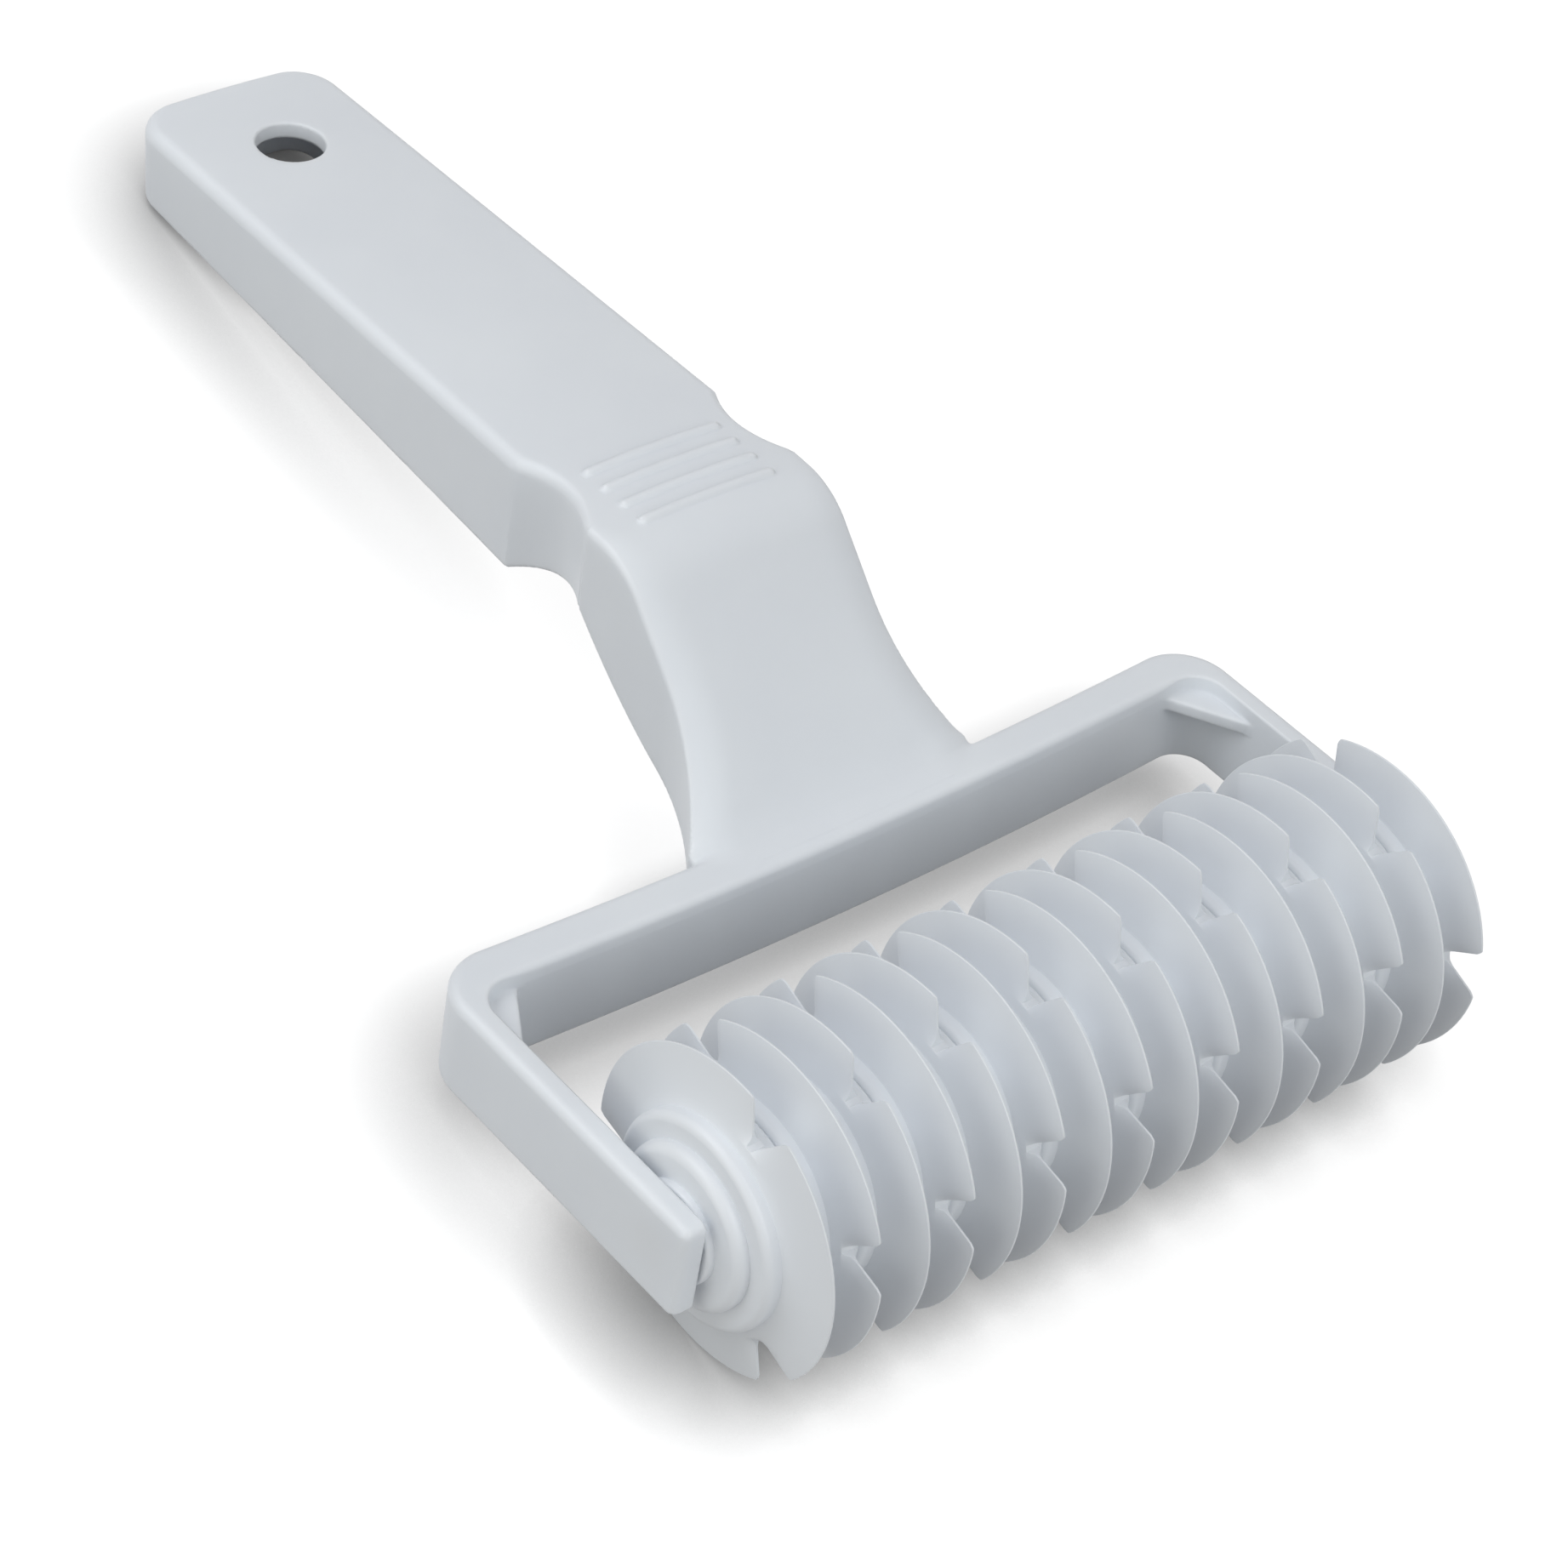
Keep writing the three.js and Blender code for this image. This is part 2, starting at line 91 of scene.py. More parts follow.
# Yoke
ARM_THICKNESS = 3.2
ARM_REACH = 5.8
YOKE_TOP = 6.7
YOKE_BOTTOM = -6.9
BAR_REAR = 44.2
BAR_THICKNESS = 6.2
BAR_BOW = 1.6
CORNER_RADIUS = 7.6
INNER_CORNER_RADIUS = 4.2
OUTER_EDGE = 1.3
ARM_INNER_EDGE = 0.35
BAR_FRONT_EDGE = 0.9
LOWER_EDGE = 0.5
ARM_END_EDGE = 1.2
PARTING_DROP = 2
PARTING_LEAN = 9
GUSSET_ALONG_BAR = 6.3
GUSSET_ALONG_ARM = 10
GUSSET_THICKNESS = 2
GUSSET_DROP = 2.2
GUSSET_EDGE = 0.4

# Neck
RAMP_ANGLE = 43.5
FOOT_START = 37.3
FOOT_RADIUS = 11.2
FOOT_SINK = 0.3
FOOT_FRONT = 39
FOOT_FILLET = 0.6
BEND_RADIUS = 12
NECK_HALF_WIDTH = 16.9
FOOT_HALF_WIDTH = 22.8
FLARE_LENGTH = 15
NECK_FLAT = 3.3
NECK_DEPTH = 13.1
FOOT_DEPTH = 5.5
FOOT_BAND = 7
RAMP_BAND = 4.4
SHOULDER_BAND = 1.5
FOOT_BAND_FALL = 0.25
RAMP_BAND_FALL = 0.12
FOOT_CREASE = 0.35
SHOULDER_CREASE = 0.8
BELLY_RISE = 0.17
SCALLOP_LENGTH = 15.2
SCALLOP_DEPTH = 2.5
WAIST_CORNER = 0.4
RIB_COUNT = 4
RIB_PITCH = 3.72
RIB_LENGTH = 21.8
RIB_RADIUS = 0.75
RIB_HEIGHT = 0.6
RIB_SHIFT = 0.35
RIB_FILLET = 0.25

# Handle
HANDLE_LENGTH = 89.9
HANDLE_TOP_AT_NECK = 32.5
HANDLE_TOP_AT_TAIL = 31.75
CROWN_AT_NECK = 0.9
CROWN_AT_TAIL = 0.6
HANDLE_DEPTH_AT_NECK = 17.3
HANDLE_DEPTH_AT_TAIL = 11.6
HANDLE_HALF_WIDTH_AT_NECK = 16.45
HANDLE_HALF_WIDTH_AT_TAIL = 15.15
TAIL_CORNER_RADIUS = 6.2
SHELL_EDGE = 1.7
SIDE_DRAFT = 0.6
WALL = 2.5
INNER_EDGE = 0.6
HOLE_DIAMETER = 9.6
HOLE_FROM_TAIL = 16.8
HOLE_EDGE = 0.35

# Fineness of the meshes: steps of the handle frame's grid, and counts for the turned pieces
GRID_MARGIN = 0.8
FINE_STEP = 0.35
SOFT_STEP = 0.45
PLAIN_STEP = 0.6
WIDE_STEP = 1.2
BLADE_COLUMNS = 32
BLADE_END_SHARES = [0, 0.0008, 0.003, 0.01]
BLADE_ROWS = 8
BLADE_EDGE_SHARES = [1, 0.5, 0.13, 0]
BLADE_ROOT_ROWS = 7
DRUM_EDGE_STEPS = 7
COLLAR_SIDES = 72
COLLAR_EDGE_STEPS = 5
BOSS_EDGE_STEPS = 4
AXLE_SIDES = 48
SHARP_ANGLE = 50

# Camera, fitted to the photograph in the tool's frame, with its near limit in metres
PHOTO_WIDTH = 1843
FOCAL_PIXELS = 5100.43
SENSOR_WIDTH = 36
CAMERA_AZIMUTH = -46.2395
CAMERA_ELEVATION = 39.9409
CAMERA_ROLL = -10.4958
CAMERA_DISTANCE = 523.35
CAMERA_RIGHT = -32.623
CAMERA_DOWN = -31.264
CAMERA_NEAR = 0.01

# Plastic, with depths in metres
FRAME_PLASTIC = {
    "light": (0.81, 0.835, 0.865), "dark": (0.78, 0.805, 0.84), "roughness": 0.42, "softness": 0.5}
# Discs and collars: the frame's plastic, a little lighter and bluer; painted light for the brighter thin
# blades
DISC_PLASTIC_PAINTED_LIGHTER = {
    "light": (0.83, 0.855, 0.885), "dark": (0.8, 0.825, 0.86), "roughness": 0.38, "softness": 0.12}
AXLE_PLASTIC = {
    "light": (0.81, 0.835, 0.865), "dark": (0.78, 0.805, 0.84), "roughness": 0.45, "softness": 0.5}
PLASTIC_IOR = 1.49
PLASTIC_SPECULAR = 0.4
PLASTIC_SOFT_DEPTH = 0.002
CLOUD_SCALE = 45
CLOUD_DETAIL = 3
CLOUD_SPAN = (0.3, 0.7)
SHEEN_SCALE = 160
SHEEN_DETAIL = 4
SHEEN_SPREAD = 0.06
GRAIN_SCALE = 2200
GRAIN_DETAIL = 2
GRAIN_STRENGTH = 0.06
GRAIN_DEPTH = 0.00008

# Floor and light, in metres and watts
FLOOR_COLOUR = (0.36, 0.36, 0.365)
FLOOR_SEEN_COLOUR = (0.24, 0.24, 0.24)
FLOOR_GLOW = 0.92
# Painted shade on the floor: within this reach, ambient occlusion to this power dims the floor's glow
FLOOR_SHADE_REACH = 0.016
FLOOR_SHADE_DEPTH = 1.7
FLOOR_SIZE = 6
FLOOR_DROP = 0.0002
SKY_COLOUR = (1, 0.97, 0.95)
SKY_STRENGTH = 0.34
SOFTBOX_SIZE = 1.3
LEFT_SOFTBOX = {"place": (-1.55, 0, 0.56), "power": 4.8, "colour": (0.98, 1, 0.94)}
FRONT_SOFTBOX = {"place": (0, -1.17, 1.17), "power": 8.6, "colour": (0.93, 0.98, 1)}
BACK_SOFTBOX = {"place": (-0.83, 0.83, 1.17), "power": 10.8, "colour": (0.9, 0.945, 1)}

# Places that follow from the sizes above
stack_half = DISC_COUNT * DISC_PITCH / 2
blade_foot = DRUM_RADIUS + NOTCH_FLOOR_GAP
sector = 2 * math.pi / NOTCH_COUNT
collar_inner = stack_half + SEAT_GAP / 2
collar_outer = collar_inner + COLLAR_LENGTH + COLLAR_BOSS_LENGTH
arm_inner = collar_outer + RUNNING_GAP
arm_outer = arm_inner + ARM_THICKNESS
socket_end = arm_outer - SOCKET_FLOOR
bar_front = BAR_REAR - BAR_THICKNESS
ramp = math.radians(RAMP_ANGLE)
foot_z = YOKE_TOP - FOOT_SINK
foot_end = FOOT_START + FOOT_RADIUS * math.sin(ramp)
ramp_foot = FOOT_START + FOOT_RADIUS * math.tan(ramp / 2)
ramp_head = ramp_foot + (HANDLE_TOP_AT_NECK - foot_z) / math.tan(ramp)
bend_end = ramp_head + BEND_RADIUS * math.tan(ramp / 2)
bend_start = bend_end - BEND_RADIUS * math.sin(ramp)
shoulder = bend_end + NECK_FLAT
waist = shoulder + SCALLOP_LENGTH
tail = waist + HANDLE_LENGTH
tail_bottom = HANDLE_TOP_AT_TAIL - HANDLE_DEPTH_AT_TAIL
pitch = math.atan2(tail_bottom, tail) + math.asin(DISC_RADIUS / math.hypot(tail, tail_bottom))

MILLIMETRE = 0.001
hinge = Vector(frame["joints"][0]["pos_m"])
tool_turn = np.array(Matrix.Rotation(-pitch, 3, "X"))


def placed(points):
    """Points of the tool's frame, in millimetres, as points of the shared frame, in metres."""
    return points @ tool_turn.T * MILLIMETRE + np.array(hinge)


# Lines of the neck and handle, each a function of y

def between(y, start, length):
    return (y - start) / length


def curve(t, first, control, last):
    return first * (1 - t) ** 2 + 2 * control * t * (1 - t) + last * t ** 2


def top_line(y):
    foot = foot_z + FOOT_RADIUS - np.sqrt(FOOT_RADIUS ** 2 - np.clip(y - FOOT_START, 0, FOOT_RADIUS) ** 2)
    slope = foot_z + (y - ramp_foot) * math.tan(ramp)
    bend_drop = BEND_RADIUS - np.sqrt(BEND_RADIUS ** 2 - np.clip(bend_end - y, 0, BEND_RADIUS) ** 2)
    fall = (HANDLE_TOP_AT_NECK - HANDLE_TOP_AT_TAIL) * np.maximum(between(y, bend_end, tail - bend_end), 0)
    handle = HANDLE_TOP_AT_NECK - bend_drop - fall
    return np.select([y < foot_end, y < bend_start], [foot, slope], handle)


def bottom_line(y):
    foot = YOKE_TOP - FOOT_DEPTH
    neck = HANDLE_TOP_AT_NECK - NECK_DEPTH
    heel = HANDLE_TOP_AT_NECK - HANDLE_DEPTH_AT_NECK
    belly = foot + BELLY_RISE * (neck - foot)
    ramp_part = curve(np.clip(between(y, BAR_REAR, shoulder - BAR_REAR), 0, 1), foot, belly, neck)
    scallop_part = curve(np.clip(between(y, shoulder, SCALLOP_LENGTH), 0, 1), neck, neck, heel)
    handle_part = heel + (tail_bottom - heel) * between(y, waist, HANDLE_LENGTH)
    return np.select([y < shoulder, y < waist], [ramp_part, scallop_part], handle_part)


def neck_half_width(y):
    spread = FOOT_HALF_WIDTH - NECK_HALF_WIDTH
    return NECK_HALF_WIDTH + spread * (1 - np.clip(between(y, BAR_REAR, FLARE_LENGTH), 0, 1)) ** 2


def scallop_half_width(y):
    deepest = NECK_HALF_WIDTH - 2 * SCALLOP_DEPTH
    t = between(y, shoulder, SCALLOP_LENGTH)
    return curve(t, NECK_HALF_WIDTH, deepest, HANDLE_HALF_WIDTH_AT_NECK)


def handle_half_width(y):
    """The handle's taper. Before the shoulder it opens out, so that it leaves the neck alone."""
    taper = HANDLE_HALF_WIDTH_AT_NECK - HANDLE_HALF_WIDTH_AT_TAIL
    tapered = HANDLE_HALF_WIDTH_AT_NECK - taper * between(y, waist, HANDLE_LENGTH)
    return tapered + np.maximum(shoulder - y, 0)


def crown(y):
    return np.interp(y, [ramp_foot, bend_end, tail], [0, CROWN_AT_NECK, CROWN_AT_TAIL])


def bow(x):
    return BAR_BOW * np.maximum(1 - (x / (arm_outer - CORNER_RADIUS)) ** 2, 0)


def lean(line, y):
    """The cosine of a line's slope at y, which turns a height above it into a distance from it."""
    step = 0.05
    return 1 / np.hypot(1, (line(y + step) - line(y - step)) / (2 * step))


# Distance fields: below zero inside a form. A rounded edge joins two of them.

def round_max(a, b, radius):
    """Inside both forms, with the edge between them rounded."""
    rounding = np.hypot(np.maximum(a + radius, 0), np.maximum(b + radius, 0))
    return np.minimum(np.maximum(a, b), -radius) + rounding


def round_min(a, b, radius):
    """Inside either form, with a fillet between them."""
    filling = np.hypot(np.maximum(radius - a, 0), np.maximum(radius - b, 0))
    return np.maximum(np.minimum(a, b), radius) - filling


def skin_height(x, y):
    share = np.clip(np.abs(x) / NECK_HALF_WIDTH, 0, 1)
    return top_line(y) + crown(y) * (1 - share ** 2)


def side_distance(x, y):
    across = np.abs(x)
    neck = np.maximum(across - neck_half_width(y), across - scallop_half_width(y))
    return round_max(neck, across - handle_half_width(y), WAIST_CORNER)


def upper_edge(side, above, y):
    """The top and sides joined. Down the ramp the top bends over in a widening band, to a crease."""
    band = np.interp(y, [BAR_REAR, ramp_head, shoulder, waist], [FOOT_BAND, RAMP_BAND, SHOULDER_BAND, 0])
    fall = np.interp(y, [BAR_REAR, ramp_head], [FOOT_BAND_FALL, RAMP_BAND_FALL])
    crease = np.interp(y, [BAR_REAR, shoulder, waist], [FOOT_CREASE, SHOULDER_CREASE, SHELL_EDGE])
    radius = band * (1 + fall ** 2) / (2 * fall)
    bent = round_max(side - np.maximum(radius - band, crease), above, radius)
    return round_max(side, bent, crease)


def shell_field(x, y, z):
    """The hollow neck and handle, open underneath."""
    top = top_line(y)
    bottom = bottom_line(y)
    above = (z - skin_height(x, y)) * lean(top_line, y)
    below = (bottom - z) * lean(bottom_line, y)
    side = side_distance(x, y)
    depth = np.maximum(top - SHELL_EDGE - bottom, WALL)
    drafted = side + SIDE_DRAFT * np.clip((top - SHELL_EDGE - z) / depth, 0, 1)
    plan = round_max(drafted, y - tail, TAIL_CORNER_RADIUS)
    outside = round_max(upper_edge(plan, above, y), below, LOWER_EDGE)
    outside = np.maximum(outside, FOOT_FRONT - y)

    inner_corner = TAIL_CORNER_RADIUS - WALL
    hollow = round_max(drafted + WALL, y - tail + WALL, inner_corner)
    hollow = round_max(hollow, BAR_REAR + INNER_EDGE - y, INNER_EDGE)
    hollow = round_max(hollow, above + WALL, INNER_EDGE)
    return round_max(outside, -hollow, LOWER_EDGE)


def yoke_field(x, y, z):
    """The bar and the two arms. Straightened, the bowed bar has flat faces."""
    across = np.abs(x)
    along = y + bow(x)
    outline = round_max(across - arm_outer, along - BAR_REAR, CORNER_RADIUS)
    outline = round_max(outline, -ARM_REACH - along, ARM_END_EDGE)
    outside = round_max(outline, z - YOKE_TOP, OUTER_EDGE)

    front = bar_front - along
    leaning = math.radians(PARTING_LEAN)
    lip = front * math.cos(leaning) + (z - YOKE_TOP + PARTING_DROP) * math.sin(leaning)
    gap = round_max(across - arm_inner, -np.maximum(front, lip), INNER_CORNER_RADIUS)
    near_arm = np.clip((across - arm_inner + 2 * INNER_CORNER_RADIUS) / INNER_CORNER_RADIUS, 0, 1)
    inner_edge = BAR_FRONT_EDGE + (ARM_INNER_EDGE - BAR_FRONT_EDGE) * near_arm
    band = round_max(outside, -gap, inner_edge)
    return round_max(band, YOKE_BOTTOM - z, LOWER_EDGE)


def gusset_field(x, y, z):
    """A small plate across each inner corner of the yoke."""
    from_arm = arm_inner - np.abs(x)
    from_bar = bar_front - y - bow(x)
    length = math.hypot(GUSSET_ALONG_BAR, GUSSET_ALONG_ARM)
    slant = from_arm * GUSSET_ALONG_ARM + from_bar * GUSSET_ALONG_BAR - GUSSET_ALONG_BAR * GUSSET_ALONG_ARM
    top = YOKE_TOP - GUSSET_DROP
    plate = np.maximum(z - top, top - GUSSET_THICKNESS - z)
    let_in = np.maximum(-from_arm, -from_bar) - ARM_THICKNESS / 2
    return np.maximum(round_max(slant / length, plate, GUSSET_EDGE), let_in)


def rib_field(x, y, z):
    """Grip ribs across the top of the neck, each following the crown."""
    past_end = np.maximum(np.abs(x) - RIB_LENGTH / 2 + RIB_RADIUS, 0)
    nearest = np.inf
    for k in range(RIB_COUNT):
        rib_y = bend_end + RIB_SHIFT + k * RIB_PITCH
        rib_z = skin_height(x, np.array(rib_y)) + RIB_HEIGHT - RIB_RADIUS
        nearest = np.minimum(nearest, np.sqrt(past_end ** 2 + (y - rib_y) ** 2 + (z - rib_z) ** 2))
    return nearest - RIB_RADIUS


def handle_frame_field(x, y, z):
    body = round_min(shell_field(x, y, z), yoke_field(x, y, z), FOOT_FILLET)
    body = round_min(body, gusset_field(x, y, z), GUSSET_EDGE)
    body = round_min(body, rib_field(x, y, z), RIB_FILLET)
    hole = HOLE_DIAMETER / 2 - np.hypot(x, y - tail + HOLE_FROM_TAIL)
    body = round_max(body, hole, HOLE_EDGE)
    socket = np.maximum(np.hypot(y, z) - JOURNAL_RADIUS - RUNNING_GAP, np.abs(x) - socket_end)
    return np.maximum(body, -socket)


# Meshing a field: one vertex in each cell of a grid that the surface crosses, settled on the surface

def ladder(start, *spans):
    """Grid places from a start, through spans of (end, step)."""
    places = [np.array([start])]
    for end, step in spans:
        first = places[-1][-1]
        places.append(np.linspace(first, end, max(2, round((end - first) / step) + 1))[1:])
    return np.concatenate(places)


def surface_net(field, axes):
    """The places and quads of a closed mesh round the cells where the field is below zero."""
    inside = field < 0
    cells_across = np.array(field.shape) - 1
    corners = np.array(list(np.ndindex(2, 2, 2)))
    count = np.zeros(cells_across, np.int8)
    for corner in corners:
        part = tuple(slice(c, c + n) for c, n in zip(corner, cells_across))
        count += inside[part]
    cells = np.argwhere((count > 0) & (count < len(corners)))
    number = np.full(cells_across, -1)
    number[tuple(cells.T)] = np.arange(len(cells))

    total = np.zeros(cells.shape)
    crossings = np.zeros(len(cells))
    quads = []
    for axis in range(3):
        along = np.eye(3, dtype=int)[axis]
        for corner in corners[corners[:, axis] == 0]:
            near = field[tuple((cells + corner).T)]
            far = field[tuple((cells + corner + along).T)]
            crossed = (near < 0) != (far < 0)
            share = np.where(crossed, near / np.where(crossed, near - far, 1), 0)
            total += crossed[:, None] * (corner + share[:, None] * along)
            crossings += crossed
        quads.append(quads_across(inside, number, axis))

    grid_places = cells + total / crossings[:, None]
    rows = [np.interp(grid_places[:, d], np.arange(len(axes[d])), axes[d]) for d in range(3)]
    return np.stack(rows, 1), np.concatenate(quads)


def quads_across(inside, number, axis):
    """A quad round each grid edge along one axis whose two ends lie on different sides."""
    side, other = (axis + 1) % 3, (axis + 2) % 3
    lower = np.moveaxis(inside, (axis, side, other), (0, 1, 2))
    ids = np.moveaxis(number, (axis, side, other), (0, 1, 2))
    starts = np.argwhere(lower[:-1, 1:-1, 1:-1] != lower[1:, 1:-1, 1:-1]) + (0, 1, 1)
    a, b, c = starts.T
    around = np.stack([ids[a, b - 1, c - 1], ids[a, b, c - 1], ids[a, b, c], ids[a, b - 1, c]], 1)
    outward = lower[a, b, c]
    return np.where(outward[:, None], around, around[:, ::-1])


def field_and_slope(field, points):
    step = 0.01
    value = field(*points.T)
    slope = np.zeros(points.shape)
    for axis, shift in enumerate(np.eye(3) * step):
        slope[:, axis] = (field(*(points + shift).T) - field(*(points - shift).T)) / (2 * step)
    return value, slope


def settled(field, points, rounds=2):
    """Points moved onto the field's surface."""
    least_square = 0.1
    for _ in range(rounds):
        value, slope = field_and_slope(field, points)
        square = np.maximum((slope ** 2).sum(1), least_square)
        points = points - (value / square)[:, None] * slope
    return points


def evened(field, points, quads, rounds=3):
    """Points spread more evenly over the surface that they lie on."""
    ends = np.concatenate([quads, np.roll(quads, 1, axis=1)]).ravel()
    others = np.concatenate([np.roll(quads, 1, axis=1), quads]).ravel()
    degree = np.bincount(ends, minlength=len(points))[:, None]
    for _ in range(rounds):
        sums = [np.bincount(ends, points[others, d], len(points)) for d in range(3)]
        pull = np.stack(sums, 1) / degree - points
        slope = field_and_slope(field, points)[1]
        normal = slope / np.linalg.norm(slope, axis=1)[:, None]
        pull -= (pull * normal).sum(1)[:, None] * normal
        points = settled(field, points + pull / 2, rounds=1)
    return points


# Pieces

def mesh_object(name, points, faces):
    """A smooth mesh of points in the tool's frame, as an object of the shared frame."""
    mesh = bpy.data.meshes.new(name)
    mesh.from_pydata(placed(points).tolist(), [], faces)
    mesh.validate()
    mesh.shade_smooth()
    piece = bpy.data.objects.new(name, mesh)
    bpy.context.scene.collection.objects.link(piece)
    return piece


def handle_frame_piece():
    """The whole moulding, on a grid that is finer where the surface bends and follows the bar's bow."""
    hole = tail - HOLE_FROM_TAIL
    rib_top = HANDLE_TOP_AT_NECK + CROWN_AT_NECK + RIB_HEIGHT
    half = ladder(
        FINE_STEP / 2,
        (NECK_HALF_WIDTH - 2 * SHELL_EDGE, PLAIN_STEP),
        (FOOT_HALF_WIDTH + GRID_MARGIN, FINE_STEP),
        (arm_outer - CORNER_RADIUS, WIDE_STEP),
        (arm_outer + GRID_MARGIN, FINE_STEP))
    along = ladder(
        -ARM_REACH - GRID_MARGIN,
        (-ARM_REACH + 2 * ARM_END_EDGE, FINE_STEP),
        (bar_front - 2 * CORNER_RADIUS, WIDE_STEP),
        (bar_front - GRID_MARGIN, PLAIN_STEP),
        (BAR_REAR + GRID_MARGIN, FINE_STEP),
        (bend_end, SOFT_STEP),
        (waist + RIB_PITCH, FINE_STEP),
        (hole - HOLE_DIAMETER, WIDE_STEP),
        (hole + HOLE_DIAMETER, FINE_STEP),
        (tail - TAIL_CORNER_RADIUS, PLAIN_STEP),
        (tail + BAR_BOW + GRID_MARGIN, SOFT_STEP))
    up = ladder(
        YOKE_BOTTOM - GRID_MARGIN,
        (YOKE_BOTTOM + 2 * LOWER_EDGE, FINE_STEP),
        (YOKE_TOP - FOOT_DEPTH, PLAIN_STEP),
        (YOKE_TOP + GRID_MARGIN, FINE_STEP),
        (HANDLE_TOP_AT_NECK - BEND_RADIUS / 2, SOFT_STEP),
        (rib_top + GRID_MARGIN, FINE_STEP))
    across = np.concatenate([-half[::-1], half])
    x = half[:, None, None]
    right = handle_frame_field(x, along[None, :, None] - bow(x), up[None, None, :])
    points, quads = surface_net(np.concatenate([right[::-1], right]), (across, along, up))
    points[:, 1] -= bow(points[:, 0])
    points = settled(handle_frame_field, points)
    points = evened(handle_frame_field, points, quads)
    piece = mesh_object("moulded_handle_frame", points, quads.tolist())
    normals = field_and_slope(handle_frame_field, points)[1] @ tool_turn.T
    normals /= np.linalg.norm(normals, axis=1)[:, None]
    piece.data.normals_split_custom_set_from_vertices(normals.tolist())
    return piece


def strip(rows, closed):
    """Quads between rows of vertex numbers, all of one length."""
    rows = np.asarray(rows)
    nexts = np.roll(rows, -1, axis=1)
    if not closed:
        rows, nexts = rows[:, :-1], nexts[:, :-1]
    return np.stack([rows[:-1], nexts[:-1], nexts[1:], rows[1:]], -1).reshape(-1, 4).tolist()


def hexagon_radius(angle, across_flats):
    sixth = math.pi / 3
    return across_flats / 2 / np.cos((angle + sixth / 2) % sixth - sixth / 2)


def around_x(x, radius, angle):
    x, radius, angle = np.broadcast_arrays(x, radius, angle)
    return np.stack([x, radius * np.cos(angle), radius * np.sin(angle)], -1)


def turned(points, angle):
    return points @ np.array(Matrix.Rotation(angle, 3, "X")).T


def rounded_corner(radius, along, edge, steps):
    """Profile points that round an outer corner, from its rim toward its face, as (radius, along)."""
    turns = np.linspace(math.pi / 2, 0, steps + 1)
    return [(radius - edge * (1 - math.sin(t)), along - edge * (1 - math.cos(t))) for t in turns]


def blade_half(radius):
    """Half the blade's thickness, which flares toward its root."""
    share = np.clip((DISC_RADIUS - radius) / (DISC_RADIUS - DRUM_RADIUS), 0, 1)
    return (RIM_THICKNESS + BLADE_TAPER * share + BLADE_ROOT_FLARE * share ** BLADE_ROOT_CURVE) / 2


def edge_drop(distance):
    share = np.clip(1 - distance / BLADE_EDGE, 0, 1)
    return BLADE_EDGE * (1 - np.sqrt(1 - share ** 2))


def blade_columns():
    """Shares of the way along a blade, from one notch to the next, crowded toward both ends."""
    ends = np.array(BLADE_END_SHARES)
    return np.concatenate([ends, np.arange(1, BLADE_COLUMNS) / BLADE_COLUMNS, 1 - ends[::-1]])


def drum_rows(angles):
    """Rows round the drum, from the foot of the blades on one side through the bore to the other side."""
    drum_half = (DISC_PITCH - SEAM_GAP) / 2
    bore = hexagon_radius(angles, AXLE_ACROSS_FLATS + 2 * KEY_GAP)
    side = [(r, blade_half(r)) for r in np.linspace(blade_foot, DRUM_RADIUS, BLADE_ROOT_ROWS)]
    side += rounded_corner(DRUM_RADIUS, drum_half, DRUM_EDGE, DRUM_EDGE_STEPS)
    rows = [around_x(x, r, angles) for r, x in side]
    rows += [around_x(drum_half, bore, angles), around_x(-drum_half, bore, angles)]
    return rows + [around_x(-x, r, angles) for r, x in side[::-1]]


def blade_face(columns):
    """One face of a blade, from its foot to its rim, as places along X, radii and angles."""
    flank = np.linspace(blade_foot, DISC_RADIUS, BLADE_ROWS + 1)[1:-1]
    edge = DISC_RADIUS - BLADE_EDGE * np.array(BLADE_EDGE_SHARES)
    radii = np.concatenate([[blade_foot + NOTCH_FLOOR_RISE], flank, edge])
    walls = wall_angle(radii)[:, None]
    reach = radii[:, None]
    angles = walls + columns * (sector - 2 * walls)
    wall_gap = np.minimum(columns, 1 - columns) * (sector - 2 * walls) * reach

    full = blade_half(reach)
    thin = RIM_THICKNESS / 2
    wall_half = thin + (full - thin) * np.clip(1 - (reach - blade_foot) / NOTCH_WALL_FLARE, 0, 1) ** 2
    bevel = np.clip(1 - wall_gap / NOTCH_WALL_BEVEL, 0, 1) ** 2
    half = full - (full - wall_half) * bevel - edge_drop(DISC_RADIUS - reach)

    from_wall, from_rim = corner_drawn_in(wall_gap, DISC_RADIUS - reach)
    inward = np.where(columns < 0.5, 1, -1)
    return half, DISC_RADIUS - from_rim, angles + inward * (from_wall - wall_gap) / reach


def disc_mesh():
    """One cutter disc on the X axis: a drum with a hexagonal bore, and three blades between notches."""
    columns = blade_columns()
    per_sector = len(columns) - 1
    ring_angles = np.concatenate([(k + columns[:-1]) * sector for k in range(NOTCH_COUNT)])
    points = np.concatenate(drum_rows(ring_angles))
    count = len(ring_angles)
    ring = np.arange(len(points)).reshape(-1, count)
    faces = strip(ring, closed=True)

    half, reach, angles = blade_face(columns)
    for k in range(NOTCH_COUNT):
        around = np.arange(k * per_sector, (k + 1) * per_sector + 1) % count
        front = around_x(half, reach, angles + k * sector)
        back = front * (-1, 1, 1)
        grid = len(points) + np.arange(2 * half.size).reshape(-1, len(columns))
        points = np.concatenate([points, front.reshape(-1, 3), back[::-1].reshape(-1, 3)])
        grid = np.concatenate([ring[:1, around], grid, ring[-1:, around]])
        faces += strip(grid[::-1], closed=False)
        pairs = len(grid) // 2
        for column, flip in ((0, 1), (-1, -1)):
            wall = np.stack([grid[:pairs, column], grid[:-pairs - 1:-1, column]])
            faces += [quad[::flip] for quad in strip(wall, closed=False)]
    return points, faces


